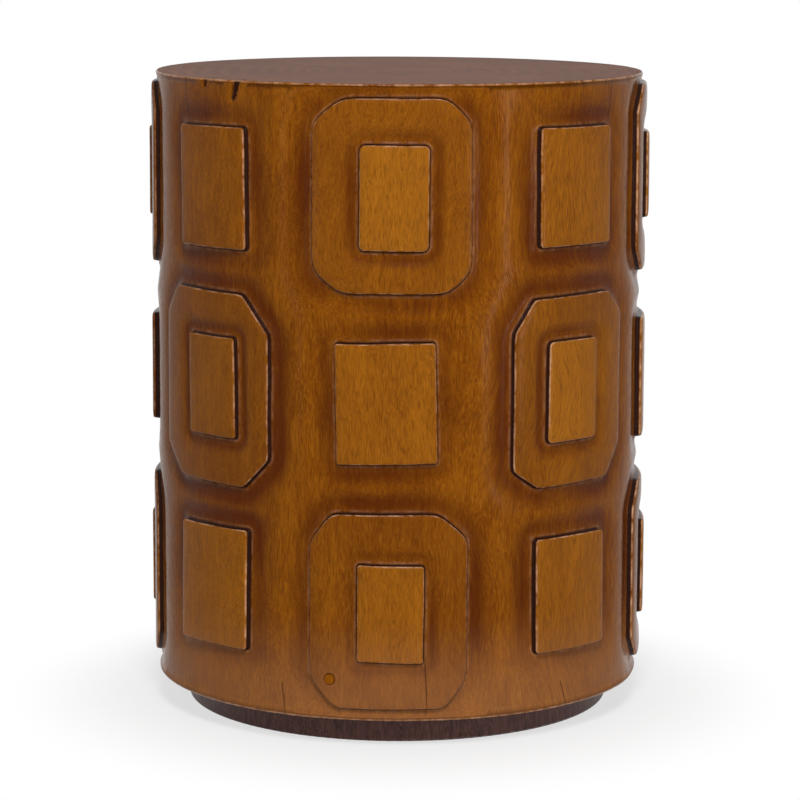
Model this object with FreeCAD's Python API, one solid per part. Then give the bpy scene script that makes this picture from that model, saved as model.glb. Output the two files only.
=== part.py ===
import FreeCAD, Part
import math
import os
from FreeCAD import Base, Vector

os.makedirs("parts", exist_ok=True)

# Frame: millimetres, +Z up, origin on the floor under the middle of the table, front towards -Y.

# Driving sizes of the table
overall_height = 525.0
top_radius = 200.0
foot_radius = 202.0
rim_round = 1.6
foot_round = 2.4

# Driving sizes of the plinth
plinth_radius = 175.5
plinth_height = 23.0
plinth_edge_round = 2.0

# Layout of the carving: octagons and plain blocks take turns along each row and up each column
column_count = 8
row_count = 3
rim_margin = 10.5
foot_margin = 14.5

# Octagonal panels
octagon_width = 123.0
octagon_height = 151.5
octagon_corner_cut = 20.5
octagon_relief = 2.8

# Blocks that stand inside the octagons
inner_width = 51.5
inner_height = 79.0
inner_corner = 3.6
inner_relief = 2.6
dish_width = 15.0
dish_depth = 3.3

# Plain blocks
plain_width = 77.5
plain_height = 94.0
plain_corner = 4.4
plain_relief = 3.6

# Hollow carved into the ground round every panel and plain block
cove_width = 24.0
cove_depth = 3.3

# Edges and walls of the carving
face_edge = 1.1
wall_draft = 0.5
root_depth = 5.0
tuck_under = 1.5

# The hollow's section, from the foot of the wall outwards: share of the width, share of the depth
cove_section_shares = ((0.0, 0.0), (0.32, 0.10), (0.66, 0.52), (1.0, 1.0))

# Wood plug in the front bottom octagon, measured from the middle of that octagon
plug_diameter = 8.0
plug_length = 14.0
plug_side_offset = 46.8
plug_drop = 56.8
plug_chamfer = 0.8

# Wood screws that hold the plinth to the log
screw_count = 6
screw_circle_radius = 125.0
screw_shank_diameter = 5.0
screw_head_diameter = 10.0
screw_head_height = 3.2
screw_length = 60.0
screw_tip_length = 6.0
screw_point_radius = 0.05
screw_sink = 3.0
screw_recess_width = 1.2
screw_recess_span = 5.0
screw_recess_depth = 1.6

# Nylon glides and their nails
glide_count = 4
glide_circle_radius = 150.0
glide_diameter = 28.0
glide_thickness = 4.0
glide_proud = 2.5
glide_chamfer = 0.8
nail_head_diameter = 7.0
nail_head_height = 1.2
nail_head_sink = 0.6
nail_diameter = 2.2
nail_length = 18.0
nail_tip_length = 3.0
nail_point_radius = 0.05

# Clearances and the overrun of cutting tools
slip_fit = 0.05
overrun = 2.0

# Worked out from the driving sizes
drum_foot = glide_proud + plinth_height
drum_height = overall_height - drum_foot
column_angle = 360.0 / column_count
top_row = overall_height - rim_margin - octagon_height / 2
bottom_row = drum_foot + foot_margin + octagon_height / 2
row_pitch = (top_row - bottom_row) / (row_count - 1)
axis = Vector(0, 0, 1)
origin = Vector(0, 0, 0)


def drum_radius_at(height):
    """Radius of the turned drum, which widens evenly towards its foot."""
    fallen = (overall_height - height) / drum_height
    return top_radius + (foot_radius - top_radius) * fallen


def turned(points, rounded):
    """A solid of revolution from (radius, height) points; rounded gives the radius at a corner's index."""
    corners = [Vector(radius, 0, height) for radius, height in points]
    edges = []
    count = len(corners)
    starts = list(corners)
    ends = list(corners)
    for index, size in rounded.items():
        corner = corners[index]
        before = (corners[index - 1] - corner).normalize()
        after = (corners[(index + 1) % count] - corner).normalize()
        half_angle = before.getAngle(after) / 2
        reach = size / math.tan(half_angle)
        starts[index] = corner + before * reach
        ends[index] = corner + after * reach
        middle_way = (before + after).normalize()
        centre = corner + middle_way * (size / math.sin(half_angle))
        edges.append(Part.Arc(starts[index], centre - middle_way * size, ends[index]).toShape())
    for index in range(count):
        edges.append(Part.makeLine(ends[index - 1], starts[index]))
    outline = Part.Wire(Part.__sortEdges__(edges))
    return Part.Face(outline).revolve(origin, axis, 360)


def rounded_rectangle(width, height, corner):
    """Corner points of an outline, as (start, tip, end) of each corner, counter-clockwise."""
    half_width = width / 2
    half_height = height / 2
    corners = []
    for side, level, turn in ((1, -1, 1), (1, 1, -1), (-1, 1, 1), (-1, -1, -1)):
        tip = (side * half_width, level * half_height)
        along = (tip[0] - side * corner, tip[1])
        up = (tip[0], tip[1] - level * corner)
        corners.append((along, tip, up) if turn > 0 else (up, tip, along))
    return corners


def cut_corner_rectangle(width, height, cut):
    """The same outline with straight cut corners, which makes an octagon."""
    return [(start, None, end) for start, tip, end in rounded_rectangle(width, height, cut)]


def wrapped_wire(outline, middle_height, radius, unroll_radius):
    """The outline laid round a cylinder, its middle on -X so that the cylinder's seam is opposite."""
    surface = Part.Cylinder()
    surface.Radius = radius

    def laid(point):
        return Base.Vector2d(math.pi + point[0] / unroll_radius, middle_height + point[1])

    edges = []
    previous_end = outline[-1][2]
    for start, tip, end in outline:
        edges.append(Part.Geom2d.Line2dSegment(laid(previous_end), laid(start)).toShape(surface))
        if tip is None:
            edges.append(Part.Geom2d.Line2dSegment(laid(start), laid(end)).toShape(surface))
        else:
            bend = Part.Geom2d.BezierCurve2d()
            bend.setPoles([laid(start), laid(tip), laid(end)])
            edges.append(bend.toShape(surface))
        previous_end = end
    return Part.Wire(edges), surface


def wrapped_solid(sections, middle_height, unroll_radius, smooth):
    """A solid between outlines on cylinders about the table's axis; sections are (outline, radius)."""
    laid = [wrapped_wire(outline, middle_height, radius, unroll_radius) for outline, radius in sections]
    wires = [wire for wire, surface in laid]
    faces = [Part.Face(laid[0][1], wires[0]), Part.Face(laid[-1][1], wires[-1])]
    if smooth:
        faces += Part.makeLoft(wires, False, False).Faces
    else:
        for lower, upper in zip(wires, wires[1:]):
            faces += Part.makeRuledSurface(lower, upper).Faces
    shell = Part.Shell(faces)
    shell.sewShape()
    solid = Part.Solid(shell)
    if solid.Volume < 0:
        solid.reverse()
    return solid


def carved_hollow(outline_grown, middle_height, floor, surface_radius, width, unroll_radius):
    """Tool for the hollow round a block: it starts under the block and sweeps out to the surface."""
    depth = surface_radius - floor
    sections = [(outline_grown(-tuck_under), floor)]
    for width_share, depth_share in cove_section_shares[1:]:
        sections.append((outline_grown(width_share * width), floor + depth_share * depth))
    slope = (1 - cove_section_shares[-2][1]) / (1 - cove_section_shares[-2][0])
    over_width = overrun * width / (slope * depth)
    sections.append((outline_grown(width + over_width), surface_radius + overrun))
    return wrapped_solid(sections, middle_height, unroll_radius, True)


def raised_block(outline_grown, middle_height, root, face, unroll_radius):
    """A block with steep walls and a small bevel round its face."""
    sections = [
        (outline_grown(wall_draft), root),
        (outline_grown(0), face - face_edge),
        (outline_grown(-face_edge), face),
    ]
    return wrapped_solid(sections, middle_height, unroll_radius, False)


def octagon_outline(grow):
    cut = octagon_corner_cut + grow * (2 - math.sqrt(2))
    return cut_corner_rectangle(octagon_width + 2 * grow, octagon_height + 2 * grow, cut)


def inner_outline(grow):
    return rounded_rectangle(inner_width + 2 * grow, inner_height + 2 * grow, inner_corner + grow)


def plain_outline(grow):
    return rounded_rectangle(plain_width + 2 * grow, plain_height + 2 * grow, plain_corner + grow)


def octagon_motif(middle_height):
    """The hollow and the panel of one octagon, with its dished face and inner block."""
    ground = drum_radius_at(middle_height)
    floor = ground - cove_depth
    face = ground + octagon_relief
    hollow = carved_hollow(octagon_outline, middle_height, floor, ground, cove_width, ground)
    panel = raised_block(octagon_outline, middle_height, floor - root_depth, face, ground)
    dish = carved_hollow(inner_outline, middle_height, face - dish_depth, face, dish_width, ground)
    inner_root = face - dish_depth - root_depth
    inner = raised_block(inner_outline, middle_height, inner_root, face + inner_relief, ground)
    return hollow, panel.cut(dish).fuse(inner)


def plain_motif(middle_height):
    """The hollow and the block of one plain rectangle."""
    ground = drum_radius_at(middle_height)
    floor = ground - cove_depth
    hollow = carved_hollow(plain_outline, middle_height, floor, ground, cove_width, ground)
    face = ground + plain_relief
    return hollow, raised_block(plain_outline, middle_height, floor - root_depth, face, ground)


def turned_to_column(shape, column):
    """Turns a motif from -X to its column; column 0 faces the front, -Y."""
    copy = shape.copy()
    copy.rotate(origin, axis, 90 + column * column_angle)
    return copy


def on_circle(radius, index, count):
    """Place number index of count, evenly spread round the axis, clear of the front."""
    angle = 2 * math.pi * (index + 0.5) / count
    return Vector(radius * math.sin(angle), -radius * math.cos(angle), 0)


def plug_frame():
    """Middle of the plug on the octagon's face, and the way out of the log there."""
    ground = drum_radius_at(bottom_row)
    face = ground + octagon_relief
    angle = -plug_side_offset / ground
    outwards = Vector(math.sin(angle), -math.cos(angle), 0)
    return outwards * face + Vector(0, 0, bottom_row - plug_drop), outwards, face


def make_drum_body():
    blank = turned(
        [(0, drum_foot), (foot_radius, drum_foot), (top_radius, overall_height), (0, overall_height)],
        {1: foot_round, 2: rim_round},
    )
    blank.rotate(origin, axis, column_angle / 2)
    hollows = []
    blocks = []
    for row in range(row_count):
        middle_height = top_row - row * row_pitch
        motifs = (octagon_motif(middle_height), plain_motif(middle_height))
        for column in range(column_count):
            hollow, block = motifs[(row + column) % 2]
            hollows.append(turned_to_column(hollow, column))
            blocks.append(turned_to_column(block, column))
    body = blank.cut(hollows).fuse(blocks)
    place, outwards, face = plug_frame()
    bore = Part.makeCylinder(
        plug_diameter / 2 + slip_fit,
        plug_length + overrun + slip_fit,
        place - outwards * (plug_length + slip_fit),
        outwards,
    )
    pilots = [
        Part.makeCylinder(
            screw_shank_diameter / 2 + slip_fit,
            screw_length - plinth_height + screw_sink + overrun + slip_fit,
            on_circle(screw_circle_radius, index, screw_count) + Vector(0, 0, drum_foot - overrun),
        )
        for index in range(screw_count)
    ]
    return body.cut([bore] + pilots)


def make_wood_plug():
    """A turned plug, its outer end dressed to the same curve as the octagon's face."""
    place, outwards, face = plug_frame()
    inner_end = place - outwards * plug_length
    stock = Part.makeCylinder(plug_diameter / 2, plug_length + overrun, inner_end, outwards)
    dressed = Part.makeCylinder(face, overall_height)
    plug = stock.common(dressed)
    innermost = min(plug.Edges, key=lambda edge: edge.CenterOfMass.dot(outwards))
    return plug.makeChamfer(plug_chamfer, [innermost])


def make_plinth():
    plinth = turned(
        [(0, glide_proud), (plinth_radius, glide_proud), (plinth_radius, drum_foot), (0, drum_foot)],
        {1: plinth_edge_round},
    )
    tools = []
    shank = screw_shank_diameter / 2 + slip_fit
    head = screw_head_diameter / 2 + slip_fit
    for index in range(screw_count):
        underside = on_circle(screw_circle_radius, index, screw_count) + Vector(0, 0, glide_proud)
        head_seat = underside + Vector(0, 0, screw_sink)
        below = underside - Vector(0, 0, overrun)
        tools.append(Part.makeCylinder(shank, plinth_height + overrun, underside))
        tools.append(Part.makeCone(head, shank, screw_head_height, head_seat))
        tools.append(Part.makeCylinder(head, screw_sink + overrun, below))
    glide = glide_diameter / 2 + slip_fit
    glide_seat_depth = glide_thickness - glide_proud
    nail = nail_diameter / 2 + slip_fit
    nail_reach = nail_length - glide_thickness + nail_head_sink
    for index in range(glide_count):
        place = on_circle(glide_circle_radius, index, glide_count)
        below = place + Vector(0, 0, glide_proud - overrun)
        glide_top = place + Vector(0, 0, glide_thickness)
        tools.append(Part.makeCylinder(glide, glide_seat_depth + overrun, below))
        tools.append(Part.makeCylinder(nail, nail_reach + slip_fit, glide_top))
    return plinth.cut(tools)


def make_screw(place):
    """One countersunk screw, head down, with a cross recess."""
    seat = place + Vector(0, 0, glide_proud + screw_sink)
    shank = screw_shank_diameter / 2
    straight = screw_length - screw_head_height - screw_tip_length
    top = seat + Vector(0, 0, screw_head_height)
    head = Part.makeCone(screw_head_diameter / 2, shank, screw_head_height, seat)
    body = Part.makeCylinder(shank, straight, top)
    tip = Part.makeCone(shank, screw_point_radius, screw_tip_length, top + Vector(0, 0, straight))
    screw = head.fuse([body, tip])
    slot = (screw_recess_width, screw_recess_span)
    for width, span in (slot, slot[::-1]):
        corner = seat - Vector(width / 2, span / 2, 0)
        screw = screw.cut(Part.makeBox(width, span, screw_recess_depth, corner))
    return screw


def make_glide(index):
    """One glide, let into the plinth and standing proud of it, with a chamfered foot."""
    place = on_circle(glide_circle_radius, index, glide_count)
    radius = glide_diameter / 2
    foot = Part.makeCone(radius - glide_chamfer, radius, glide_chamfer, place)
    above_foot = place + Vector(0, 0, glide_chamfer)
    upper = Part.makeCylinder(radius, glide_thickness - glide_chamfer, above_foot)
    head_room = Part.makeCylinder(nail_head_diameter / 2 + slip_fit, nail_head_sink + nail_head_height, place)
    nail_hole = Part.makeCylinder(nail_diameter / 2 + slip_fit, glide_thickness, place)
    return foot.fuse(upper).cut([head_room, nail_hole])


def make_nail(place):
    """One flat-headed nail, its head sunk into the glide."""
    base = place + Vector(0, 0, nail_head_sink)
    straight = nail_length - nail_head_height - nail_tip_length
    top = base + Vector(0, 0, nail_head_height)
    head = Part.makeCylinder(nail_head_diameter / 2, nail_head_height, base)
    shank = Part.makeCylinder(nail_diameter / 2, straight, top)
    tip = Part.makeCone(nail_diameter / 2, nail_point_radius, nail_tip_length, top + Vector(0, 0, straight))
    return head.fuse([shank, tip])


def save(name, shape):
    shape.exportStep("parts/" + name + ".step")
    print(name, len(shape.Solids), shape.isValid(), round(shape.Volume))


save("drum_body", make_drum_body())
save("plinth", make_plinth())
save("wood_plug", make_wood_plug())
screw_places = [on_circle(screw_circle_radius, index, screw_count) for index in range(screw_count)]
save("plinth_screws", Part.makeCompound([make_screw(place) for place in screw_places]))
for index in range(glide_count):
    save("glide_" + str(index + 1), make_glide(index))
nail_places = [on_circle(glide_circle_radius, index, glide_count) for index in range(glide_count)]
save("glide_nails", Part.makeCompound([make_nail(place) for place in nail_places]))
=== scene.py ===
import math

import bmesh
import bpy
import numpy as np
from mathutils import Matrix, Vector, noise


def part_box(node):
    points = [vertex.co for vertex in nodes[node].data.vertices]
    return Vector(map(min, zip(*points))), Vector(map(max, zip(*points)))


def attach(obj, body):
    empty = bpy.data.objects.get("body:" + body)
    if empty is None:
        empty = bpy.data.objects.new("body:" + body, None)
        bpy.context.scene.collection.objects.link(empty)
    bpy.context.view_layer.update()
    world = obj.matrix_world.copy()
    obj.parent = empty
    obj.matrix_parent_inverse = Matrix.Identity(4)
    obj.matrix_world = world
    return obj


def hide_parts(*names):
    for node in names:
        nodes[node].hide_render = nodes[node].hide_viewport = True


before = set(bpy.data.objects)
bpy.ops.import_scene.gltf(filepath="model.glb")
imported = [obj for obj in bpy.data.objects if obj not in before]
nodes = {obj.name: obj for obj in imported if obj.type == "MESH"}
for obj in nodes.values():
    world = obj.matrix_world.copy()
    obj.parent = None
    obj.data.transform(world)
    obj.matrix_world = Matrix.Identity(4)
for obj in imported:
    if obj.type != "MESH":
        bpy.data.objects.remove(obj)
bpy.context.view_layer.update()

MM = 0.001

# Sizes of the table in millimetres, as the CAD model has them
drum_low, drum_high = (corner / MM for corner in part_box("drum_body"))
OVERALL_HEIGHT = drum_high.z
DRUM_FOOT = drum_low.z
TOP_RADIUS = 201.1
FOOT_RADIUS = 201.5
RIM_ROUND = 1.9
FOOT_ROUND = 2.4

COLUMNS = 8
ROWS = 3
RIM_MARGIN = 10.5
FOOT_MARGIN = 14.5
OCTAGON = {"width": 123.0, "height": 151.5, "corner": 20.5, "cut": True}
INNER = {"width": 51.5, "height": 79.0, "corner": 3.6, "cut": False}
PLAIN = {"width": 77.5, "height": 94.0, "corner": 4.4, "cut": False}
OCTAGON_RELIEF = 2.8
INNER_RELIEF = 2.6
PLAIN_RELIEF = 3.6
COVE_DEPTH = 3.3
COVE_WIDTH = 24.0
DISH_DEPTH = 3.3
DISH_WIDTH = 15.0

TOP_ROW = OVERALL_HEIGHT - RIM_MARGIN - OCTAGON["height"] / 2
BOTTOM_ROW = DRUM_FOOT + FOOT_MARGIN + OCTAGON["height"] / 2
ROW_HEIGHTS = [TOP_ROW + (BOTTOM_ROW - TOP_ROW) * row / (ROWS - 1) for row in range(ROWS)]

# The side is drawn flat, as if unrolled at this radius: distance round the drum against height
UNROLL = (TOP_RADIUS + FOOT_RADIUS) / 2
ROUND = 2 * math.pi * UNROLL
# The carver set the columns out a little unevenly: degrees round from the front one
COLUMN_ANGLES = (0.0, 45.0, 91.5, 134.0, 177.5, 221.0, 265.0, 315.0)

# Fineness of the carved mesh: steps along a cell's level sides, its upright sides and half a corner
STEPS_ACROSS = 24
STEPS_UP = 30
STEPS_CORNER = 3
LOOP = 2 * (STEPS_ACROSS + STEPS_UP)

# Loops of the mesh at set distances from an outline: over the face, round its edge, down the wall
FACE_LOOPS = (-10.0, -5.5, -2.6, -1.3, -0.85, -0.45, -0.14, 0.0)
WALL_LOOPS = (0.12, 0.7)
FOOT_LOOPS = (1.4, 2.4, 4.0)
EDGE_ROUND = 1.3
WALL_RUN = 0.7
GROOVE_DEPTH = 0.45
GROOVE_MIDDLE = 0.9
GROOVE_SPREAD = 0.6
LIP_RISE = 0.3
LIP_MIDDLE = 2.2
LIP_SPREAD = 0.9
PILLOW = 0.7
PILLOW_REACH = 8.0
BLEND_LOOPS = 7
RIM_REACH = 9.0
RIM_SHARE = 0.25

# How far each carved shape that the photo shows is off its even place, as the carver left it:
# (row, column): side, up, wider, taller, lean, tilt, corner
OCTAGON_HAND = {
    (0, 0): (1.0, 0.3, 1.4, -1.8, 0.0, 0.0, 0.0),
    (1, 7): (-4.8, 4.6, 2.6, 1.2, 0.5, -1.0, 0.0),
    (1, 1): (2.5, 4.5, -2.0, -2.0, 0.5, 1.0, 0.0),
    (2, 0): (-1.3, -2.3, 1.5, 3.4, 0.0, 0.5, 0.0),
}
# How wide and tall the cut at each of their corners is, as shares: lower left, lower right, upper right, upper left
CORNER_SHARES = {
    (0, 0): ((1.06, 0.85), (0.9, 0.85), (0.93, 0.9), (1.15, 0.9)),
    (1, 7): ((1.25, 1.13), (1.16, 1.15), (1.22, 1.45), (0.95, 1.1)),
    (1, 1): ((1.1, 0.75), (0.97, 1.25), (0.97, 0.85), (0.88, 1.25)),
    (2, 0): ((0.97, 1.15), (0.85, 1.1), (1.1, 0.95), (0.85, 1.15)),
}
INNER_HAND = {
    (0, 0): (3.0, -0.8, 1.4, 1.7, 0.8, 0.0, 0.8),
    (1, 7): (1.2, 6.0, 1.2, 0.4, -1.0, 0.5, -1.4),
    (1, 1): (-1.8, 5.0, -0.5, 0.9, 0.8, 0.0, 0.3),
    (2, 0): (0.9, -3.3, -0.3, -1.7, 0.4, -0.8, -1.4),
}
PLAIN_HAND = {
    (0, 7): (-1.0, 1.9, -1.8, 1.0, -1.4, 1.0, -1.6),
    (0, 1): (3.4, 4.0, 0.5, -1.6, -0.4, -0.6, -1.6),
    (1, 0): (-3.0, 1.0, 0.6, 0.2, -1.6, 1.4, -2.2),
    (2, 7): (-1.8, 6.0, 1.2, 2.3, 1.7, 1.2, -1.8),
    (2, 1): (1.0, 3.1, -2.0, -2.0, -1.2, -1.0, -1.6),
}
# What the photo shows of the shapes seen edge-on: how far each is up or down and longer or shorter
EVEN = (0.0,) * 7
EDGE_ON = {
    (1, 0, 6): (0.0, 2.5, 0.0, -5.0, 0.0, 0.0, 0.0),
    (4, 0, 6): (0.0, 3.9, 0.0, -4.5, 0.0, 0.0, 0.0),
    (4, 0, 2): (0.0, 4.0, 0.0, -8.0, 0.0, 0.0, 0.0),
    (2, 1, 6): (0.0, 2.8, 0.0, -5.5, 0.0, 0.0, 0.0),
    (2, 1, 2): (0.0, -2.5, 0.0, 5.0, 0.0, 0.0, 0.0),
}
EVEN_CORNERS = ((1.0, 1.0),) * 4
HAND_SPREAD = (1.6, 2.0, 1.4, 1.8, 1.2, 0.9, 0.8)
# How often an octagon's corners were eased by the rasp, and how deep the dish inside it is
OCTAGON_SOFTENED = {(0, 0): 6, (2, 0): 3}
DISH_SHARES = {(0, 6): 0.5, (2, 6): 0.8}
# Painted shade on the faces of the left-hand column, which are darker because less light falls on that side
PAINTED_FACE_SHADE = {(0, 6): 0.8, (1, 6): 0.8, (2, 6): 0.6, (0, 7): 0.12, (1, 7): 0.3}
BAND_GLAZE = 0.34
WOBBLE = 0.45
WOBBLE_LENGTH = 34.0


def place(column):
    """Where a column stands on the unrolled side; columns past either end go on round the drum."""
    turns, within = divmod(column, COLUMNS)
    return math.radians(COLUMN_ANGLES[within]) * UNROLL + turns * ROUND


def half_gaps(column):
    """How far a cell reaches from its column to the left and to the right."""
    return (place(column) - place(column - 1)) / 2, (place(column + 1) - place(column)) / 2


def is_octagon(row, column):
    return (row + column) % 2 == 0


def hand(table, row, column, seed):
    """The carver's offsets of one shape: as the photo shows it, or small and random where it is out of sight."""
    if (row, column) in table:
        return table[row, column]
    draw = np.random.default_rng([seed, row, column]).uniform(-1, 1, len(HAND_SPREAD))
    return tuple(draw * HAND_SPREAD + EDGE_ON.get((seed, row, column), EVEN))


def shape_loop(shape, grow, offsets, row, column):
    """Points of a shape's outline, grown outwards, in cell coordinates.

    They run anticlockwise from the middle of the lower left corner, LOOP of them, and as many steps always lie on
    each side, so that loops of different shapes join in even strips.
    """
    side, up, wider, taller, lean, tilt, corner = offsets
    width = shape["width"] + wider
    height = shape["height"] + taller
    half = np.array([width / 2 + grow, height / 2 + grow])
    if shape["cut"]:
        reach = shape["corner"] + corner + grow * (2 - math.sqrt(2))
    else:
        reach = max(shape["corner"] + corner + grow, 0.6)
    share = np.linspace(0, 1, 2 * STEPS_CORNER + 1)[:, None]
    cuts = CORNER_SHARES.get((row, column), EVEN_CORNERS) if shape["cut"] else EVEN_CORNERS
    corners = []
    for quarter, (x, y) in enumerate(((-1, -1), (1, -1), (1, 1), (-1, 1))):
        tip = half * (x, y)
        along = tip - (x * reach * cuts[quarter][0], 0)
        upright = tip - (0, y * reach * cuts[quarter][1])
        start, end = (upright, along) if x == y else (along, upright)
        if shape["cut"]:
            corners.append(start + (end - start) * share)
        else:
            turn = (share[:, 0] + quarter + 2) * math.pi / 2
            corners.append(tip - reach * np.array([x, y]) + reach * np.stack([np.cos(turn), np.sin(turn)], 1))
    loop = list(corners[0][STEPS_CORNER:])
    for index in range(4):
        steps = (STEPS_ACROSS, STEPS_UP)[index % 2] - 2 * STEPS_CORNER
        following = corners[(index + 1) % 4]
        share_along = np.linspace(0, 1, steps + 1)[1:-1, None]
        loop += list(loop[-1] + (following[0] - loop[-1]) * share_along)
        loop += list(following if index < 3 else following[:STEPS_CORNER])
    points = np.array(loop)
    if shape["cut"]:
        for _ in range(OCTAGON_SOFTENED.get((row, column), 1)):
            points += 0.35 * ((np.roll(points, 1, 0) + np.roll(points, -1, 0)) / 2 - points)
    leaned = np.stack([
        points[:, 0] + side + lean * points[:, 1] / height,
        points[:, 1] + up + tilt * points[:, 0] / width,
    ], 1)
    leaned[:, 1] += ROW_HEIGHTS[row]
    return leaned + wobble(leaned, column)


def wobble(points, column):
    """The slight unsteadiness of edges cut by hand, smooth over the surface."""
    moved = [
        noise.noise_vector(Vector((x + place(column), y, 0)) / WOBBLE_LENGTH)
        for x, y in points
    ]
    return WOBBLE * np.array([(v.x, v.y) for v in moved])


def row_border(index, column, across):
    """Height of the border above row number index, which gives each octagon the room it needs."""
    if index == 0:
        return np.full_like(across, OVERALL_HEIGHT - RIM_ROUND)
    if index == ROWS:
        return np.full_like(across, DRUM_FOOT + FOOT_ROUND)
    middle = (ROW_HEIGHTS[index - 1] + ROW_HEIGHTS[index]) / 2
    swing = (OCTAGON["height"] - PLAIN["height"]) / 4
    sign = -1 if is_octagon(index - 1, column) else 1
    left, right = half_gaps(column)
    return middle + sign * swing * np.cos(np.pi / 2 * across / np.where(across < 0, left, right))


def cell_loop(row, column):
    """The border of a cell, as a loop that matches the loops of its shapes."""
    left_gap, right_gap = half_gaps(column)
    across = np.linspace(-left_gap, right_gap, STEPS_ACROSS + 1)
    low = np.stack([across, row_border(row + 1, column, across)], 1)
    high = np.stack([across, row_border(row, column, across)], 1)
    share = np.linspace(0, 1, STEPS_UP + 1)[:, None]
    right = low[-1] + (high[-1] - low[-1]) * share
    left = low[0] + (high[0] - low[0]) * share
    return np.concatenate([low[:-1], right[:-1], high[:0:-1], left[:0:-1]])


def filled(loop):
    """Points of the grid that fills a loop, its border left out, in rows from the bottom up."""
    bottom = loop[:STEPS_ACROSS + 1]
    right = loop[STEPS_ACROSS:STEPS_ACROSS + STEPS_UP + 1]
    top = loop[STEPS_ACROSS + STEPS_UP:2 * STEPS_ACROSS + STEPS_UP + 1][::-1]
    left = np.concatenate([loop[2 * STEPS_ACROSS + STEPS_UP:], loop[:1]])[::-1]
    s = np.linspace(0, 1, STEPS_ACROSS + 1)[None, :, None]
    t = np.linspace(0, 1, STEPS_UP + 1)[:, None, None]
    grid = (1 - t) * bottom[None] + t * top[None] + (1 - s) * left[:, None] + s * right[:, None]
    grid -= (1 - t) * ((1 - s) * bottom[0] + s * bottom[-1]) + t * ((1 - s) * top[0] + s * top[-1])
    return grid[1:-1, 1:-1].reshape(-1, 2)


def distance(points, loop):
    """Distance from each point to a closed outline."""
    start = loop[None]
    run = (np.roll(loop, -1, 0) - loop)[None]
    away = points[:, None] - start
    share = np.clip((away * run).sum(2) / (run ** 2).sum(2), 0, 1)
    return np.sqrt(((away - run * share[..., None]) ** 2).sum(2)).min(1)


def hollow(away, width):
    """Share of a hollow's depth at some distance from the wall: deepest a little way out, then easing away."""
    return (1 - 0.36 * np.exp(-(away / (0.24 * width)) ** 2)) / (1 + (away / (0.68 * width)) ** 4)


def edge_drop(inside):
    """How far a face has fallen near its edge: a slow roll, then the rounded arris."""
    roll = PILLOW * np.clip(1 - inside / PILLOW_REACH, 0, 1) ** 2
    arris = EDGE_ROUND - np.sqrt(np.clip(EDGE_ROUND ** 2 - np.clip(EDGE_ROUND - inside, 0, None) ** 2, 0, None))
    return roll + arris


def groove(away):
    """The fine groove that the knife left along the foot of each wall, less the lip that stands beside it."""
    cut = GROOVE_DEPTH * np.exp(-((away - GROOVE_MIDDLE) / GROOVE_SPREAD) ** 2)
    return cut - LIP_RISE * np.exp(-((away - LIP_MIDDLE) / LIP_SPREAD) ** 2)


def ease(value):
    """A smooth step from 0 to 1."""
    value = np.clip(value, 0, 1)
    return value * value * (3 - 2 * value)


def drum_radius(height):
    return TOP_RADIUS + (FOOT_RADIUS - TOP_RADIUS) * (OVERALL_HEIGHT - height) / (OVERALL_HEIGHT - DRUM_FOOT)


def rough(points, column, length, stretch, seed):
    """Smooth noise from 0 to 1 over the side, the same from both sides of a cell border."""
    turn = (points[:, 0] + place(column)) / UNROLL
    ring = np.stack([np.sin(turn) * UNROLL, -np.cos(turn) * UNROLL, points[:, 1] / stretch], 1) / length + seed
    return np.array([noise.noise(Vector(p)) for p in ring]) * 0.5 + 0.5


# What is kept on the mesh's points for the wood: glaze pooled in the hollows together with painted shade on the
# left-hand faces, the dark line along a wall's foot, paler edges that are partly wear and partly painted highlight,
# and how light each block is
STORED = ("glaze", "line", "wear", "tone")


class Skin:
    """Grows one mesh from loops of points on the unrolled side."""

    def __init__(self):
        self.flat = []
        self.radius = []
        self.stored = {name: [] for name in STORED}
        self.faces = []
        self.end_faces = []
        self.count = 0

    def add(self, points, radius, column, **stored):
        turned = points.copy()
        turned[:, 0] += place(column)
        self.flat.append(turned)
        self.radius.append(np.broadcast_to(radius, len(points)))
        for name in STORED:
            self.stored[name].append(np.broadcast_to(stored.get(name, 0.0), len(points)))
        first = self.count
        self.count += len(points)
        return np.arange(first, self.count)

    def strip(self, inner, outer):
        """Joins two closed loops by a strip of faces that look outwards."""
        for a in range(len(inner)):
            b = (a + 1) % len(inner)
            self.faces.append((inner[a], outer[a], outer[b], inner[b]))

    def patch(self, loop, inside):
        """Fills a loop with the grid that filled() gave."""
        grid = np.empty((STEPS_UP + 1, STEPS_ACROSS + 1), int)
        grid[0] = loop[:STEPS_ACROSS + 1]
        grid[:, -1] = loop[STEPS_ACROSS:STEPS_ACROSS + STEPS_UP + 1]
        grid[-1] = loop[STEPS_ACROSS + STEPS_UP:2 * STEPS_ACROSS + STEPS_UP + 1][::-1]
        grid[:, 0] = np.concatenate([loop[2 * STEPS_ACROSS + STEPS_UP:], loop[:1]])[::-1]
        grid[1:-1, 1:-1] = inside.reshape(STEPS_UP - 1, STEPS_ACROSS - 1)
        for up in range(STEPS_UP):
            for side in range(STEPS_ACROSS):
                corners = (grid[up, side], grid[up, side + 1], grid[up + 1, side + 1], grid[up + 1, side])
                self.faces.append(corners)


def outer_shape(row, column):
    """The shape at the middle of a cell: its sizes, its offsets and how far its face stands out."""
    if is_octagon(row, column):
        return OCTAGON, hand(OCTAGON_HAND, row, column, 1), OCTAGON_RELIEF
    return PLAIN, hand(PLAIN_HAND, row, column, 2), PLAIN_RELIEF


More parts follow.
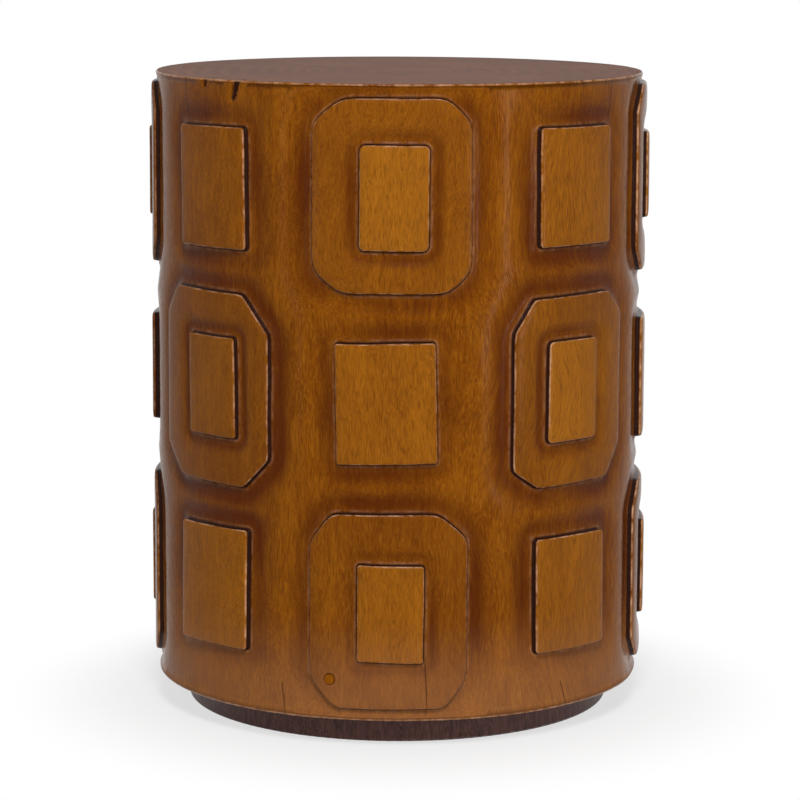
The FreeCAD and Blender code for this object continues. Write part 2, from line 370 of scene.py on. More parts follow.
def ground_radius(points, row, column):
    """Radius of the ground, hollowed round every shape near enough to matter, and how near the nearest is."""
    sunk = np.zeros(len(points))
    nearest = np.full(len(points), 1e3)
    for near_row in range(max(row - 1, 0), min(row + 2, ROWS)):
        for near in (column - 1, column, column + 1):
            near_column = near % COLUMNS
            shape, offsets, relief = outer_shape(near_row, near_column)
            outline = shape_loop(shape, 0, offsets, near_row, near_column) + (place(near) - place(column), 0)
            away = distance(points, outline)
            sunk += (COVE_DEPTH * hollow(away, COVE_WIDTH)) ** 4
            nearest = np.minimum(nearest, away)
    to_end = np.minimum(OVERALL_HEIGHT - points[:, 1], points[:, 1] - DRUM_FOOT)
    sunk = sunk ** 0.25 * (RIM_SHARE + (1 - RIM_SHARE) * ease(to_end / RIM_REACH))
    dents = 0.7 * rough(points, column, 42.0, 1.6, 3.0) + 0.4 * rough(points, column, 15.0, 1.2, 8.0)
    dents *= 0.3 + 0.7 * ease(to_end / RIM_REACH)
    return drum_radius(points[:, 1]) - sunk - dents, nearest


def pooled(away, middle, near, far):
    """How much glaze lies at some distance outside a wall: most of it a little way out, less right beside it."""
    inner = 0.5 + 0.5 * np.exp(-((away - middle) / near) ** 2)
    outer = np.exp(-(np.abs(away - middle) / far) ** 2)
    return np.where(away < middle, inner, outer)


def on_ground(nearest, points):
    """Glaze on the ground between the shapes: thinner towards the rim and the foot."""
    amount = 0.35 + 0.65 * ease((OVERALL_HEIGHT - points[:, 1] - 3) / 12)
    amount *= 0.2 + 0.8 * ease((points[:, 1] - DRUM_FOOT) / 90)
    return (0.1 + 0.84 * pooled(nearest, 8.0, 4.5, 10.0)) * amount


def in_dish(from_inner):
    """Glaze in the dish round an inner block."""
    return 0.8 * pooled(from_inner, 8.0, 4.0, 5.5)


def wall_line(away):
    """The near black line in the knife's groove."""
    return np.where(away < WALL_RUN + 0.1, 1.0, np.exp(-((away - WALL_RUN) / 0.75) ** 2))


def carve(skin, row, column):
    """Adds one cell: its raised shape, the wall round it and the ground out to the cell's border."""
    shape, offsets, relief = outer_shape(row, column)
    octagonal = is_octagon(row, column)
    tone = np.random.default_rng([5, row, column]).uniform(0, 0.6)
    dish_depth = DISH_DEPTH * DISH_SHARES.get((row, column), 1.0)
    inner_offsets = hand(INNER_HAND, row, column, 4)
    inner_outline = shape_loop(INNER, 0, inner_offsets, row, column)
    outer_outline = shape_loop(shape, 0, offsets, row, column)
    loops = []

    def face_radius(points, standing):
        return drum_radius(points[:, 1]) + standing - 0.3 * rough(points, column, 30.0, 1.5, 20.0)

    def dished(points):
        dish = dish_depth * hollow(distance(points, inner_outline), DISH_WIDTH)
        return face_radius(points, relief) - dish - edge_drop(distance(points, outer_outline))

    def ground(points):
        return ground_radius(points, row, column)[0]

    def edges(of_shape, of_offsets, face_at, glaze_and_shade_at, floor_at, pool_and_shade_at, start_at, tone_of):
        """Loops over the edge of a face, down its wall and out past the groove at its foot."""
        for grow in [g for g in FACE_LOOPS if g >= start_at]:
            points = shape_loop(of_shape, grow, of_offsets, row, column)
            # A pale line along the arris, partly wear and partly painted highlight, weaker on faces with painted
            # shade
            edge_wear_and_highlight = math.exp(-((grow + 0.2) / 0.3) ** 2)
            edge_wear_and_highlight *= 1 - 0.8 * face_shade(points)
            loops.append((points, face_at(points, -grow), {"glaze": glaze_and_shade_at(points), "wear": edge_wear_and_highlight, "tone": tone_of}))
        edge = shape_loop(of_shape, 0, of_offsets, row, column)
        top = face_at(edge, 0)
        for grow in WALL_LOOPS + FOOT_LOOPS:
            points = shape_loop(of_shape, grow, of_offsets, row, column)
            floor = floor_at(points) - groove(grow)
            radius = top + (floor - top) * min(grow / WALL_RUN, 1)
            # A pale line on the lip beside the groove, partly wear and partly painted highlight
            lip = 0.2 * math.exp(-((grow - LIP_MIDDLE) / 0.6) ** 2)
            kept = {"glaze": pool_and_shade_at(points), "line": wall_line(grow), "wear": lip, "tone": 0.0}
            loops.append((points, radius, kept))

    def block_face(points, inside):
        return face_radius(points, standing) - edge_drop(inside)

    def octagon_face(points, inside):
        dish = dish_depth * hollow(distance(points, inner_outline), DISH_WIDTH)
        return face_radius(points, relief) - dish - edge_drop(inside)

    # Painted shade on a face of the left-hand column
    def face_shade(points):
        return PAINTED_FACE_SHADE.get((row, column), 0.0)

    # The most of: glaze in the dish, the band's glaze and a left-hand face's painted shade
    def dish_glaze_and_shade(points):
        return np.maximum(in_dish(distance(points, inner_outline)), max(face_shade(points), BAND_GLAZE))

    def ground_glaze(points):
        return on_ground(ground_radius(points, row, column)[1], points)

    standing = relief + (INNER_RELIEF if octagonal else 0)
    if octagonal:
        inner_tone = tone + 0.4
        edges(INNER, inner_offsets, block_face, face_shade, dished, dish_glaze_and_shade, FACE_LOOPS[0], inner_tone)
        last = loops[-1][0]
        reach = shape_loop(shape, FACE_LOOPS[1], offsets, row, column)
        for step in range(1, BLEND_LOOPS):
            points = last + (reach - last) * step / BLEND_LOOPS
            loops.append((points, dished(points), {"glaze": dish_glaze_and_shade(points), "tone": tone}))
        edges(shape, offsets, octagon_face, dish_glaze_and_shade, ground, ground_glaze, FACE_LOOPS[1], tone)
    else:
        edges(shape, offsets, block_face, face_shade, ground, ground_glaze, FACE_LOOPS[0], tone)
    last = loops[-1][0]
    border = cell_loop(row, column)
    for step in range(1, BLEND_LOOPS + 1):
        points = last + (border - last) * step / BLEND_LOOPS if step < BLEND_LOOPS else border
        radius, nearest = ground_radius(points, row, column)
        loops.append((points, radius, {"glaze": on_ground(nearest, points)}))
    made = [skin.add(points, radius, column, **kept) for points, radius, kept in loops]
    for inner, outer in zip(made, made[1:]):
        skin.strip(inner, outer)
    middle = filled(loops[0][0])
    inside = distance(middle, inner_outline if octagonal else outer_outline)
    skin.patch(made[0], skin.add(middle, block_face(middle, inside), column, tone=loops[0][2]["tone"],
                                   glaze=face_shade(middle)))
    return made[-1]


def close_end(skin, borders, side, level, rounding, rings):
    """Rounds the end of the drum over and closes it with rings of faces."""
    ordered = []
    for border in borders:
        first = STEPS_ACROSS + STEPS_UP if side > 0 else 0
        along = border[first:first + STEPS_ACROSS + 1]
        ordered += list(along[::-1][:-1] if side > 0 else along[:-1])
    ordered = np.array(ordered)
    flat = np.concatenate(skin.flat)[ordered]
    radius = np.concatenate(skin.radius)[ordered]
    glaze = np.concatenate(skin.stored["glaze"])[ordered]
    turns = np.linspace(0, math.pi / 2, 5)[1:]
    # The rounding carries a pale line, partly wear and partly painted highlight, strongest half way round
    outline = [(rounding * math.sin(t), radius - rounding * (1 - math.cos(t)), math.sin(2 * t)) for t in turns]
    outline += [(rounding, (radius - rounding) * share, 0.0) for share in rings]
    previous = ordered
    for index, (rise, at_radius, edge_wear_and_highlight) in enumerate(outline):
        points = flat.copy()
        points[:, 1] = level - side * (rounding - rise)
        current = skin.add(points, at_radius, 0, glaze=glaze * (index < 3), wear=0.7 * edge_wear_and_highlight)
        first_face = len(skin.faces)
        skin.strip(*((previous, current) if side > 0 else (current, previous)))
        if index >= len(turns) - 1:
            skin.end_faces += range(first_face, len(skin.faces))
        previous = current
    centre = skin.add(np.array([[0.0, level]]), 0.0, 0)[0]
    for a in range(len(previous)):
        b = (a + 1) % len(previous)
        skin.end_faces.append(len(skin.faces))
        skin.faces.append((previous[b], previous[a], centre) if side > 0 else (previous[a], previous[b], centre))


# Small marks of age that cut into the wood's edge: angle at the rim and at the foot of the mark, its lower end,
# width and depth
NOTCHES = (
    {"angle": (-47.7, -48.0), "low": 517.0, "width": 2.6, "depth": 3.6},
    {"angle": (-37.4, -39.0), "low": 506.5, "width": 3.6, "depth": 4.4},
)
PLUG_RIM = 4.35


def refine(shaped, near, times):
    """Splits the faces that lie near a mark, so that its shape can be cut into them."""
    for _ in range(times):
        edges = {edge for face in shaped.faces if near(face.calc_center_median()) for edge in face.edges}
        bmesh.ops.subdivide_edges(shaped, edges=list(edges), cuts=1, use_grid_fill=True)


def cut_notches(shaped, line):
    """Cuts the notches of the rim as tapering grooves."""
    for notch in NOTCHES:
        top, foot = (math.radians(angle) for angle in notch["angle"])
        reach = 3 * notch["width"] * MM

        def off(point):
            share = (OVERALL_HEIGHT - point.z / MM) / (OVERALL_HEIGHT - notch["low"])
            turn = math.atan2(point.x, -point.y) - (top + (foot - top) * min(max(share, 0), 1))
            return turn * TOP_RADIUS * MM, share

        def near(point):
            away, share = off(point)
            return abs(away) < reach and share < 1.3 and math.hypot(point.x, point.y) > (TOP_RADIUS - 12) * MM

        refine(shaped, near, 3)
        for vert in shaped.verts:
            if not near(vert.co):
                continue
            away, share = off(vert.co)
            width = notch["width"] * MM * (1 - 0.45 * min(max(share, 0), 1))
            ragged = 1 + 0.8 * noise.noise(vert.co / (2.2 * MM))
            deep = math.exp(-(away / width) ** 2 * ragged) * float(ease((1.05 - share) / 0.35))
            flat = Vector((vert.co.x, vert.co.y, 0)).normalized()
            if math.hypot(vert.co.x, vert.co.y) > (TOP_RADIUS - 8) * MM:
                vert.co -= flat * notch["depth"] * MM * deep
            vert[line] = max(vert[line], float(ease((deep - 0.25) / 0.4)))


def sink_plug_seat(shaped, line):
    """Lets the wood plug show in its hole: a fine ring round it, and the wood under it out of the way."""
    low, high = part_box("wood_plug")
    middle = (low + high) / 2
    outward = Vector((middle.x, middle.y, 0)).normalized()
    top = max((Vector(v.co) @ outward for v in nodes["wood_plug"].data.vertices))

    def off(point):
        away = point - middle
        return (away - outward * (away @ outward)).length / MM if point @ outward > 0 else 1e3

    refine(shaped, lambda point: off(point) < 3 * PLUG_RIM, 1)
    refine(shaped, lambda point: off(point) < 2 * PLUG_RIM, 2)
    for vert in shaped.verts:
        away = off(vert.co)
        if away < 2 * PLUG_RIM:
            level = top - 0.2 * MM
            out = vert.co @ outward
            seat = float(ease((2 * PLUG_RIM - away) / PLUG_RIM))
            vert.co += outward * (level - out) * seat * 0.9
            inside = float(ease((PLUG_RIM + 0.35 - away) / 0.5))
            vert.co -= outward * 1.6 * MM * inside
            vert[line] = max(vert[line], inside)


def make_drum():
    """The whole carved log as one mesh, with its glaze and painted shade, lines, wear and painted highlight, and tone
    kept on its points.
    """
    skin = Skin()
    borders = [[carve(skin, row, column) for column in range(COLUMNS)] for row in range(ROWS)]
    rings = (0.985, 0.95, 0.88, 0.8, 0.7, 0.6, 0.5, 0.4, 0.3, 0.2, 0.1)
    close_end(skin, borders[0], 1, OVERALL_HEIGHT, RIM_ROUND, rings)
    close_end(skin, borders[-1], -1, DRUM_FOOT, FOOT_ROUND, rings[1::2])
    flat = np.concatenate(skin.flat)
    radius = np.concatenate(skin.radius)
    turn = flat[:, 0] / UNROLL
    points = np.stack([radius * np.sin(turn), -radius * np.cos(turn), flat[:, 1]], 1) * MM
    mesh = bpy.data.meshes.new("carved_drum")
    mesh.from_pydata(points.tolist(), [], [tuple(int(i) for i in face) for face in skin.faces])
    for index in skin.end_faces:
        mesh.polygons[index].material_index = 1
    for name in STORED:
        layer = mesh.attributes.new(name, "FLOAT", "POINT")
        layer.data.foreach_set("value", np.concatenate(skin.stored[name]).astype(np.float32))
    shaped = bmesh.new()
    shaped.from_mesh(mesh)
    bmesh.ops.remove_doubles(shaped, verts=shaped.verts, dist=0.002 * MM)
    line = shaped.verts.layers.float["line"]
    cut_notches(shaped, line)
    sink_plug_seat(shaped, line)
    shaped.to_mesh(mesh)
    shaped.free()
    mesh.polygons.foreach_set("use_smooth", [True] * len(mesh.polygons))
    mesh.update()
    drum = bpy.data.objects.new("carved_drum", mesh)
    bpy.context.scene.collection.objects.link(drum)
    return drum


# How much the waxed side and the dry sawn ends shine
WAX_IOR = 1.13
WOOD_SPECULAR = 0.5
END_SPECULAR = 0.075


def srgb(red, green, blue):
    """A linear colour from the familiar 0 to 255 scale."""
    return [((c / 255 + 0.055) / 1.055) ** 2.4 if c > 10 else c / 255 / 12.92 for c in (red, green, blue)] + [1.0]


class Shader:
    """A material, with short calls that add its nodes."""

    def __init__(self, name):
        self.material = bpy.data.materials.new(name)
        self.material.use_nodes = True
        self.tree = self.material.node_tree
        self.surface = self.tree.nodes["Principled BSDF"]
        self.surface.inputs["Specular IOR Level"].default_value = 0.3
        self.place = self.add("ShaderNodeTexCoord").outputs["Object"]

    def add(self, kind, **settings):
        made = self.tree.nodes.new(kind)
        for key, value in settings.items():
            setattr(made, key, value)
        return made

    def feed(self, socket, value):
        if isinstance(value, bpy.types.NodeSocket):
            self.tree.links.new(value, socket)
        else:
            socket.default_value = value

    def sum(self, operation, first, second=0.0, clamp=False):
        made = self.add("ShaderNodeMath", operation=operation, use_clamp=clamp)
        self.feed(made.inputs[0], first)
        self.feed(made.inputs[1], second)
        return made.outputs[0]

    def span(self, value, low, high, to_low=0.0, to_high=1.0, smooth=False):
        made = self.add("ShaderNodeMapRange", interpolation_type="SMOOTHSTEP" if smooth else "LINEAR")
        for socket, given in zip(made.inputs, (value, low, high, to_low, to_high)):
            self.feed(socket, given)
        return made.outputs[0]

    def mix(self, share, first, second, blend="MIX"):
        made = self.add("ShaderNodeMix", data_type="RGBA", blend_type=blend)
        self.feed(made.inputs["Factor"], share)
        self.feed(made.inputs[6], first)
        self.feed(made.inputs[7], second)
        return made.outputs[2]

    def scaled(self, across, along, vector=None, shift=(0.0, 0.0, 0.0)):
        """Object coordinates with this many units to the metre across the grain and along it."""
        made = self.add("ShaderNodeMapping")
        self.feed(made.inputs["Vector"], vector or self.place)
        made.inputs["Location"].default_value = shift
        made.inputs["Scale"].default_value = (across, across, along)
        return made.outputs[0]

    def cloud(self, vector, detail=2.0, roughness=0.5, distortion=0.0):
        made = self.add("ShaderNodeTexNoise")
        self.feed(made.inputs["Vector"], vector)
        made.inputs["Scale"].default_value = 1.0
        made.inputs["Detail"].default_value = detail
        made.inputs["Roughness"].default_value = roughness
        made.inputs["Distortion"].default_value = distortion
        return made.outputs["Fac"]

    def cells(self, vector):
        made = self.add("ShaderNodeTexVoronoi")
        self.feed(made.inputs["Vector"], vector)
        made.inputs["Scale"].default_value = 1.0
        return made.outputs["Distance"]

    def near_line(self, start, end, width):
        """1 on a straight line between two points of the level plane, given in millimetres, and 0 away from it."""
        first = Vector((*start, 0)) * MM
        run = Vector((*end, 0)) * MM - first
        flat = self.add("ShaderNodeVectorMath", operation="MULTIPLY")
        self.feed(flat.inputs[0], self.place)
        flat.inputs[1].default_value = (1.0, 1.0, 0.0)
        ragged = self.add("ShaderNodeVectorMath", operation="MULTIPLY_ADD")
        self.feed(ragged.inputs[0], self.combined(self.cloud(self.scaled(45.0, 45.0), detail=3.0)))
        ragged.inputs[1].default_value = (0.008, 0.008, 0.0)
        self.feed(ragged.inputs[2], flat.outputs[0])
        away = self.add("ShaderNodeVectorMath", operation="SUBTRACT")
        self.feed(away.inputs[0], ragged.outputs[0])
        away.inputs[1].default_value = first
        along = self.add("ShaderNodeVectorMath", operation="DOT_PRODUCT")
        self.feed(along.inputs[0], away.outputs[0])
        along.inputs[1].default_value = run / run.length_squared
        share = self.sum("MINIMUM", self.sum("MAXIMUM", along.outputs["Value"], 0.0), 1.0)
        nearest = self.add("ShaderNodeVectorMath", operation="SCALE")
        nearest.inputs[0].default_value = run
        self.feed(nearest.inputs["Scale"], share)
        gap = self.add("ShaderNodeVectorMath", operation="DISTANCE")
        self.feed(gap.inputs[0], away.outputs[0])
        self.feed(gap.inputs[1], nearest.outputs[0])
        return self.sum("SUBTRACT", 1.0, self.sum("DIVIDE", gap.outputs["Value"], width * MM), clamp=True)

    def combined(self, value):
        """A vector with the same value in each part, less a half, so that it sways both ways."""
        made = self.add("ShaderNodeCombineXYZ")
        for socket in made.inputs:
            self.feed(socket, self.sum("SUBTRACT", value, 0.5))
        return made.outputs[0]

    def stored(self, name):
        return self.add("ShaderNodeAttribute", attribute_name=name).outputs["Fac"]

    def bump(self, height, depth, after=None):
        made = self.add("ShaderNodeBump")
        self.feed(made.inputs["Height"], height)
        made.inputs["Distance"].default_value = depth
        made.inputs["Strength"].default_value = 1.0
        if after is not None:
            self.feed(made.inputs["Normal"], after)
        return made.outputs[0]


def wood_figure(shader, ring_width):
    """The log's own figure as shares from 0 to 1: growth rings, streaks, fine fibres and short dark pores."""
    sway = shader.cloud(shader.scaled(7.0, 5.0), detail=2.0)
    sway = shader.sum("ADD", sway, shader.sum("MULTIPLY", shader.cloud(shader.scaled(30.0, 16.0)), 0.22))
    leaning = shader.add("ShaderNodeVectorMath", operation="MULTIPLY_ADD")
    shader.feed(leaning.inputs[0], shader.combined(sway))
    leaning.inputs[1].default_value = (0.055, 0.055, 0.0)
    shader.feed(leaning.inputs[2], shader.place)
    grain = leaning.outputs[0]
    apart = shader.add("ShaderNodeSeparateXYZ")
    shader.feed(apart.inputs[0], shader.place)
    from_pith = shader.sum("SQRT", shader.sum(
        "ADD", shader.sum("POWER", shader.sum("ADD", apart.outputs[0], -0.012), 2.0),
        shader.sum("POWER", shader.sum("ADD", apart.outputs[1], 0.02), 2.0),
    ))
    bent = shader.cloud(shader.scaled(9.0, 2.2), detail=2.0)
    rounds = shader.sum("ADD", from_pith, shader.sum("MULTIPLY", bent, 0.05))
    ring = shader.sum("PINGPONG", shader.sum("DIVIDE", rounds, ring_width), 1.0)
    fibre = shader.cloud(shader.scaled(1500.0, 90.0, grain), detail=3.0, roughness=0.6)
    streak = shader.cloud(shader.scaled(300.0, 16.0, grain), detail=3.0, roughness=0.55)
    pores = shader.cloud(shader.scaled(1300.0, 105.0, grain, shift=(3.1, 7.7, 1.3)), detail=1.0, roughness=0.4)
    return ring, fibre, streak, pores


def along_check(shader, turn, height, check):
    """Share of a drying check's dark line: 1 in the check and 0 off it."""
    first, last, high, low, width = check
    share = shader.span(height, high * MM, low * MM)
    at = shader.span(share, 0.0, 1.0, math.radians(first), math.radians(last))
    ragged = shader.cloud(shader.scaled(60.0, 60.0), detail=3.0)
    away = shader.sum("SUBTRACT", turn, shader.sum("ADD", at, shader.span(ragged, 0.0, 1.0, -0.006, 0.006)))
    away = shader.sum("MULTIPLY", shader.sum("ABSOLUTE", away), TOP_RADIUS)
    thin = shader.sum("MULTIPLY", shader.span(share, 0.6, 1.0, 1.0, 0.3), width)
    dark = shader.sum("SUBTRACT", 1.0, shader.sum("DIVIDE", away, thin), clamp=True)
    inside = shader.sum("MULTIPLY", shader.span(height, (low - 1) * MM, low * MM),
                        shader.span(height, (high + 1) * MM, high * MM))
    return shader.sum("MULTIPLY", dark, inside)


# Hairline drying checks: angles at the upper and lower end in degrees, heights of both ends, and width
CHECKS = (
    (-55.3, -55.5, 526.0, 491.0, 0.9),
    (58.3, 58.6, 526.0, 491.0, 0.9),
    (-25.2, -24.2, 51.7, 25.0, 0.8),
    (8.1, 8.4, 75.0, 30.0, 0.8),
    (42.4, 44.1, 46.6, 25.0, 0.8),
)


# The wood gets a painted pale sheen low down, standing in for the floor's reflection, and has one small knot left of
# the middle rectangle
SHEEN_FROM = 115.0
SHEEN_TO = 35.0
KNOT_ANGLE = -19.5
KNOT_HEIGHT = 289.0


def drum_wood():
    shader = Shader("carved_wood")
    ring, fibre, streak, pores = wood_figure(shader, 0.011)
    glaze, line, wear, tone = (shader.stored(name) for name in STORED)
    cloudy = shader.cloud(shader.scaled(42.0, 20.0, shift=(0.3, 0.1, 5.0)), detail=4.0, roughness=0.6)
    broad = shader.cloud(shader.scaled(11.0, 8.0, shift=(2.3, 6.1, 0.7)), detail=2.0)

    colour = shader.mix(shader.span(streak, 0.32, 0.68), srgb(119, 62, 0), srgb(143, 82, 7))
    colour = shader.mix(shader.span(cloudy, 0.42, 0.66, 0.0, 0.62), colour, srgb(104, 50, 0))
    colour = shader.mix(shader.span(ring, 0.3, 1.0, 0.0, 0.14, smooth=True), colour, srgb(100, 47, 0))
    colour = shader.mix(shader.sum("MULTIPLY", tone, 0.4), colour, srgb(176, 114, 34))
    colour = shader.mix(shader.span(fibre, 0.46, 0.7, 0.0, 0.6), colour, srgb(168, 104, 22))
    dash = shader.span(pores, 0.46, 0.36)
    colour = shader.mix(shader.sum("MULTIPLY", dash, 0.4), colour, srgb(76, 34, 0))

    # Glaze pooled in the hollows, with painted shade on the faces of the left-hand column
    glaze_and_shade_share = shader.sum("MULTIPLY", glaze, shader.span(streak, 0.3, 0.7, 1.12, 0.9))
    glaze_and_shade_share = shader.sum("MULTIPLY", glaze_and_shade_share, shader.span(broad, 0.36, 0.6, 0.35, 1.2), clamp=True)
    colour = shader.mix(shader.span(glaze_and_shade_share, 0.0, 1.0, 0.0, 0.85), colour, srgb(80, 29, 0))
    turn = shader.add("ShaderNodeSeparateXYZ")
    shader.feed(turn.inputs[0], shader.place)
    angle = shader.sum("ARCTAN2", turn.outputs[0], shader.sum("MULTIPLY", turn.outputs[1], -1.0))
    # Painted pale sheen towards the foot, standing in for the white floor's reflection
    painted_foot_sheen = shader.span(turn.outputs[2], SHEEN_FROM * MM, SHEEN_TO * MM, 0.0, 0.2, smooth=True)
    colour = shader.mix(painted_foot_sheen, colour, srgb(186, 136, 100))
    round_knot = shader.add("ShaderNodeVectorMath", operation="DISTANCE")
    swirl = shader.add("ShaderNodeVectorMath", operation="MULTIPLY_ADD")
    shader.feed(swirl.inputs[0], shader.combined(shader.cloud(shader.scaled(120.0, 60.0), detail=3.0)))
    swirl.inputs[1].default_value = (0.01, 0.01, 0.01)
    shader.feed(swirl.inputs[2], shader.place)
    shader.feed(round_knot.inputs[0], swirl.outputs[0])
    turned = math.radians(KNOT_ANGLE)
    round_knot.inputs[1].default_value = (
        TOP_RADIUS * MM * math.sin(turned) + 0.005, 0.005 - TOP_RADIUS * MM * math.cos(turned), KNOT_HEIGHT * MM + 0.005)
    knot = shader.span(round_knot.outputs["Value"], 0.0075, 0.002, 0.0, 0.75, smooth=True)
    colour = shader.mix(knot, colour, srgb(70, 24, 4))
    checked = 0.0
    for check in CHECKS:
        checked = shader.sum("MAXIMUM", along_check(shader, angle, turn.outputs[2], check), checked)
    broken = shader.cloud(shader.scaled(150.0, 110.0), detail=4.0, roughness=0.65)
    dark = shader.sum("MAXIMUM", shader.sum("MULTIPLY", checked, 0.85), shader.sum("MULTIPLY", line, 0.97))
    colour = shader.mix(dark, colour, srgb(38, 15, 9))
    # Paler edges, lips and rim: partly wear and partly painted highlight
    amount = shader.sum("MULTIPLY", wear, shader.span(broken, 0.4, 0.64, 0.0, 0.85))
    colour = shader.mix(amount, colour, srgb(222, 174, 138))
    shader.feed(shader.surface.inputs["Base Color"], colour)
    shader.surface.inputs["Specular IOR Level"].default_value = WOOD_SPECULAR
    shader.surface.inputs["IOR"].default_value = WAX_IOR

    dull = shader.span(fibre, 0.3, 0.7, 0.15, 0.24)
    shader.feed(shader.surface.inputs["Roughness"], shader.sum("ADD", dull, shader.sum("MULTIPLY", dash, 0.12)))
    pitted = shader.bump(shader.sum("MULTIPLY", dash, -1.0), 0.00006)
    grained = shader.bump(fibre, 0.00004, after=pitted)
    torn = shader.bump(shader.sum("MULTIPLY", broken, line), 0.0012, after=grained)
    shader.feed(shader.surface.inputs["Normal"], torn)
    return shader.material


# Fine checks in the sawn top, in millimetres from the drum's axis: start, end and width
END_CHECKS = (
    ((-88, 30), (-12, 36), 1.6),
    ((-12, 36), (40, 28), 1.0),
    ((44, 156), (88, 122), 1.6),
    ((88, 122), (104, 70), 1.6),
    ((52, -92), (72, -104), 1.8),
    ((-128, -70), (-92, -62), 1.6),
)


def end_grain():
    """The sawn ends of the log: rings round the pith and fine checks that run out from it."""
    shader = Shader("end_grain")
    ring, fibre, streak, pores = wood_figure(shader, 0.007)
    colour = shader.mix(shader.span(ring, 0.1, 0.9), srgb(122, 74, 46), srgb(104, 60, 36))
    blotch = shader.cloud(shader.scaled(12.0, 12.0), detail=3.0)
    colour = shader.mix(shader.span(blotch, 0.35, 0.65, 0.0, 0.5), colour, srgb(78, 44, 28))
    colour = shader.mix(shader.span(pores, 0.42, 0.34, 0.0, 0.5), colour, srgb(52, 26, 16))
    cracks = 0.0
    for check in END_CHECKS:
        cracks = shader.sum("MAXIMUM", shader.near_line(*check), cracks)
    colour = shader.mix(shader.sum("MULTIPLY", cracks, 0.55), colour, srgb(44, 22, 15))
    shader.feed(shader.surface.inputs["Base Color"], colour)
    shader.surface.inputs["Specular IOR Level"].default_value = END_SPECULAR
    shader.feed(shader.surface.inputs["Roughness"], shader.span(fibre, 0.3, 0.7, 0.5, 0.6))
    shader.feed(shader.surface.inputs["Normal"], shader.bump(fibre, 0.00008))
    return shader.material


def plinth_wood():
    shader = Shader("plinth_wood")
    ring, fibre, streak, pores = wood_figure(shader, 0.006)
    colour = shader.mix(shader.span(streak, 0.3, 0.7), srgb(64, 38, 34), srgb(98, 64, 57))
    colour = shader.mix(shader.span(fibre, 0.45, 0.75, 0.0, 0.45), colour, srgb(116, 80, 70))
    dash = shader.span(pores, 0.47, 0.38)
    colour = shader.mix(shader.sum("MULTIPLY", dash, 0.6), colour, srgb(24, 12, 11))
    shader.feed(shader.surface.inputs["Base Color"], colour)
    shader.surface.inputs["Specular IOR Level"].default_value = 0.2
    shader.feed(shader.surface.inputs["Roughness"], shader.span(fibre, 0.3, 0.7, 0.36, 0.5))
    shader.feed(shader.surface.inputs["Normal"], shader.bump(fibre, 0.00012))
    return shader.material


def plug_wood():
    shader = Shader("plug_wood")
    fibre = shader.cloud(shader.scaled(1500.0, 300.0), detail=3.0, roughness=0.6)
    colour = shader.mix(shader.span(fibre, 0.3, 0.7), srgb(118, 62, 0), srgb(152, 88, 6))
    shader.feed(shader.surface.inputs["Base Color"], colour)
    shader.surface.inputs["IOR"].default_value = WAX_IOR
    shader.surface.inputs["Specular IOR Level"].default_value = WOOD_SPECULAR
    shader.feed(shader.surface.inputs["Roughness"], shader.span(fibre, 0.3, 0.7, 0.3, 0.42))
    shader.feed(shader.surface.inputs["Normal"], shader.bump(fibre, 0.0001))
    return shader.material


def nylon():
    shader = Shader("glide_nylon")
    grain = shader.cloud(shader.scaled(900.0, 900.0), detail=3.0)
    blotch = shader.cloud(shader.scaled(70.0, 70.0), detail=2.0)
    colour = shader.mix(shader.span(blotch, 0.3, 0.7), srgb(58, 42, 34), srgb(74, 56, 46))
    shader.feed(shader.surface.inputs["Base Color"], colour)
    shader.feed(shader.surface.inputs["Roughness"], shader.span(grain, 0.3, 0.7, 0.5, 0.66))
    shader.feed(shader.surface.inputs["Normal"], shader.bump(grain, 0.00005))
    return shader.material


def metal(name, dark, light):
    shader = Shader(name)
    grain = shader.cloud(shader.scaled(2200.0, 500.0), detail=3.0)
    blotch = shader.cloud(shader.scaled(260.0, 260.0), detail=2.0)
    shader.feed(shader.surface.inputs["Base Color"], shader.mix(shader.span(blotch, 0.3, 0.7), dark, light))
    shader.surface.inputs["Metallic"].default_value = 1.0
    shader.feed(shader.surface.inputs["Roughness"], shader.span(grain, 0.3, 0.7, 0.28, 0.45))
    shader.feed(shader.surface.inputs["Normal"], shader.bump(grain, 0.00003))
    return shader.material


def coat_node(name, material):
    """Gives a CAD node its finish."""
    mesh = nodes[name].data
    mesh.materials.clear()
    mesh.materials.append(material)


drum = make_drum()
drum.data.materials.append(drum_wood())
drum.data.materials.append(end_grain())
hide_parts("drum_body")
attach(drum, "root")

coat_node("plinth", plinth_wood())
coat_node("wood_plug", plug_wood())
coat_node("plinth_screws", metal("screw_steel", srgb(150, 128, 80), srgb(190, 168, 112)))
coat_node("glide_nails", metal("nail_steel", srgb(150, 150, 152), srgb(190, 190, 192)))
glide_finish = nylon()
for name in sorted(nodes):
    if name.startswith("glide_") and name != "glide_nails":
        coat_node(name, glide_finish)


def seen_directly(tree):
    """1 for what the camera sees, straight or in a reflection or through glass, and 0 for light that bounces."""
    path = tree.nodes.new("ShaderNodeLightPath")
    last = path.outputs["Is Camera Ray"]
    for kind in ("Is Glossy Ray", "Is Transmission Ray"):
        either = tree.nodes.new("ShaderNodeMath")
        either.operation = "MAXIMUM"
        tree.links.new(last, either.inputs[0])
        tree.links.new(path.outputs[kind], either.inputs[1])
        last = either.outputs[0]
    return last


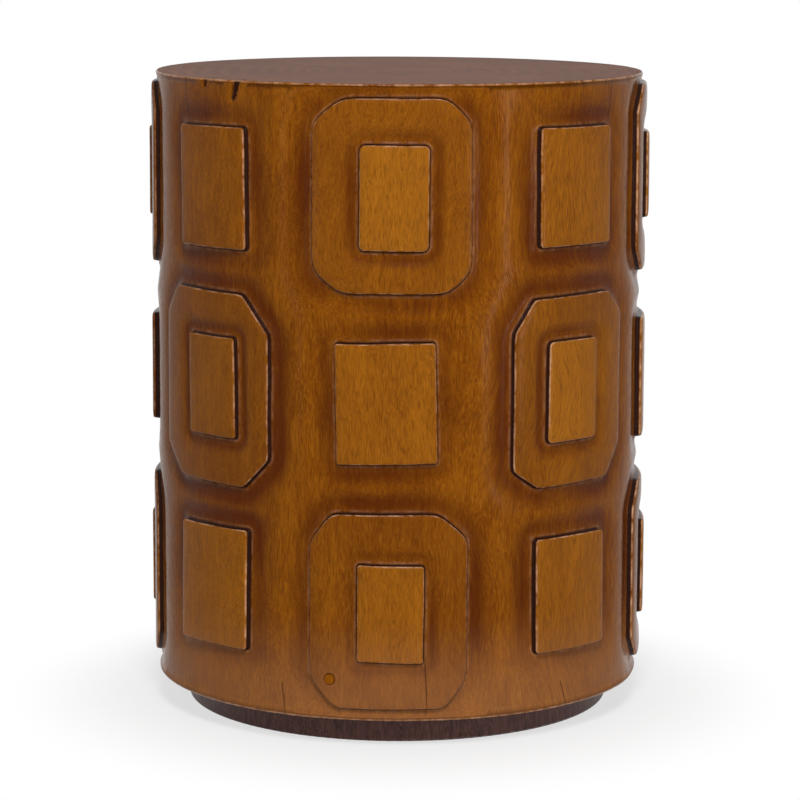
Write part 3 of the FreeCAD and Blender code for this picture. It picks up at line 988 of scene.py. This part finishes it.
def make_floor():
    """A pale floor that keeps the table's shadow and turns to plain white further out."""
    reach = 4.0
    mesh = bpy.data.meshes.new("floor")
    corners = [(-reach, -reach, 0), (reach, -reach, 0), (reach, reach, 0), (-reach, reach, 0)]
    mesh.from_pydata(corners, [], [(0, 1, 2, 3)])
    floor = bpy.data.objects.new("floor", mesh)
    bpy.context.scene.collection.objects.link(floor)
    shader = Shader("floor")
    seen = seen_directly(shader.tree)
    shader.feed(shader.surface.inputs["Base Color"], shader.mix(seen, (0.9, 0.9, 0.9, 1.0), (0.98, 0.98, 0.98, 1.0)))
    shader.surface.inputs["Roughness"].default_value = 0.9
    white = shader.add("ShaderNodeEmission")
    white.inputs["Color"].default_value = (1.0, 1.0, 1.0, 1.0)
    length = shader.add("ShaderNodeVectorMath", operation="LENGTH")
    shader.feed(length.inputs[0], shader.place)
    far = shader.span(length.outputs["Value"], 0.19, 0.34, 0.68, 1.0, smooth=True)
    blend = shader.add("ShaderNodeMixShader")
    shader.feed(blend.inputs[0], shader.sum("MULTIPLY", far, seen))
    shader.tree.links.new(shader.surface.outputs[0], blend.inputs[1])
    shader.tree.links.new(white.outputs[0], blend.inputs[2])
    shader.tree.links.new(blend.outputs[0], shader.tree.nodes["Material Output"].inputs["Surface"])
    mesh.materials.append(shader.material)


def make_world():
    """White where it is seen, and a soft even light to everything else."""
    world = bpy.data.worlds.new("studio")
    bpy.context.scene.world = world
    world.use_nodes = True
    tree = world.node_tree
    background = tree.nodes["Background"]
    strength = tree.nodes.new("ShaderNodeMapRange")
    tree.links.new(seen_directly(tree), strength.inputs[0])
    strength.inputs["To Min"].default_value = 0.2
    strength.inputs["To Max"].default_value = 1.0
    tree.links.new(strength.outputs[0], background.inputs["Strength"])
    background.inputs["Color"].default_value = (1.0, 1.0, 1.0, 1.0)


def make_lamp(name, azimuth, height, away, width, tall, radiance):
    """A soft box that looks at the middle of the table; radiance 1 is as bright as white paper."""
    data = bpy.data.lights.new(name, "AREA")
    data.shape = "RECTANGLE"
    data.size = width
    data.size_y = tall
    data.energy = radiance * math.pi * width * tall
    lamp = bpy.data.objects.new(name, data)
    bpy.context.scene.collection.objects.link(lamp)
    turn = math.radians(azimuth)
    lamp.location = (away * math.sin(turn), -away * math.cos(turn), height)
    towards = Vector((0, 0, OVERALL_HEIGHT * MM / 2)) - lamp.location
    lamp.rotation_mode = "QUATERNION"
    lamp.rotation_quaternion = towards.to_track_quat("-Z", "Y")


def make_camera():
    """Stands where the photograph was taken from, a little to the right of the front column."""
    data = bpy.data.cameras.new("camera")
    data.sensor_width = 36.0
    data.lens = 141.95
    camera = bpy.data.objects.new("camera", data)
    bpy.context.scene.collection.objects.link(camera)
    turn = math.radians(1.87)
    away = 2.606
    camera.location = (away * math.sin(turn), -away * math.cos(turn), 0.6727)
    camera.rotation_euler = (math.radians(90 - 9.23), math.radians(-0.2), turn)
    bpy.context.scene.camera = camera


make_floor()
make_world()
make_lamp("key", 4, 1.6, 1.8, 0.5, 0.5, 41.0)
make_lamp("box_right", 50, 0.28, 1.8, 0.2, 0.5, 13.5)
make_lamp("box_left", -44, 0.28, 1.8, 0.2, 0.5, 3.0)
make_camera()
bpy.context.scene.view_settings.view_transform = "Standard"
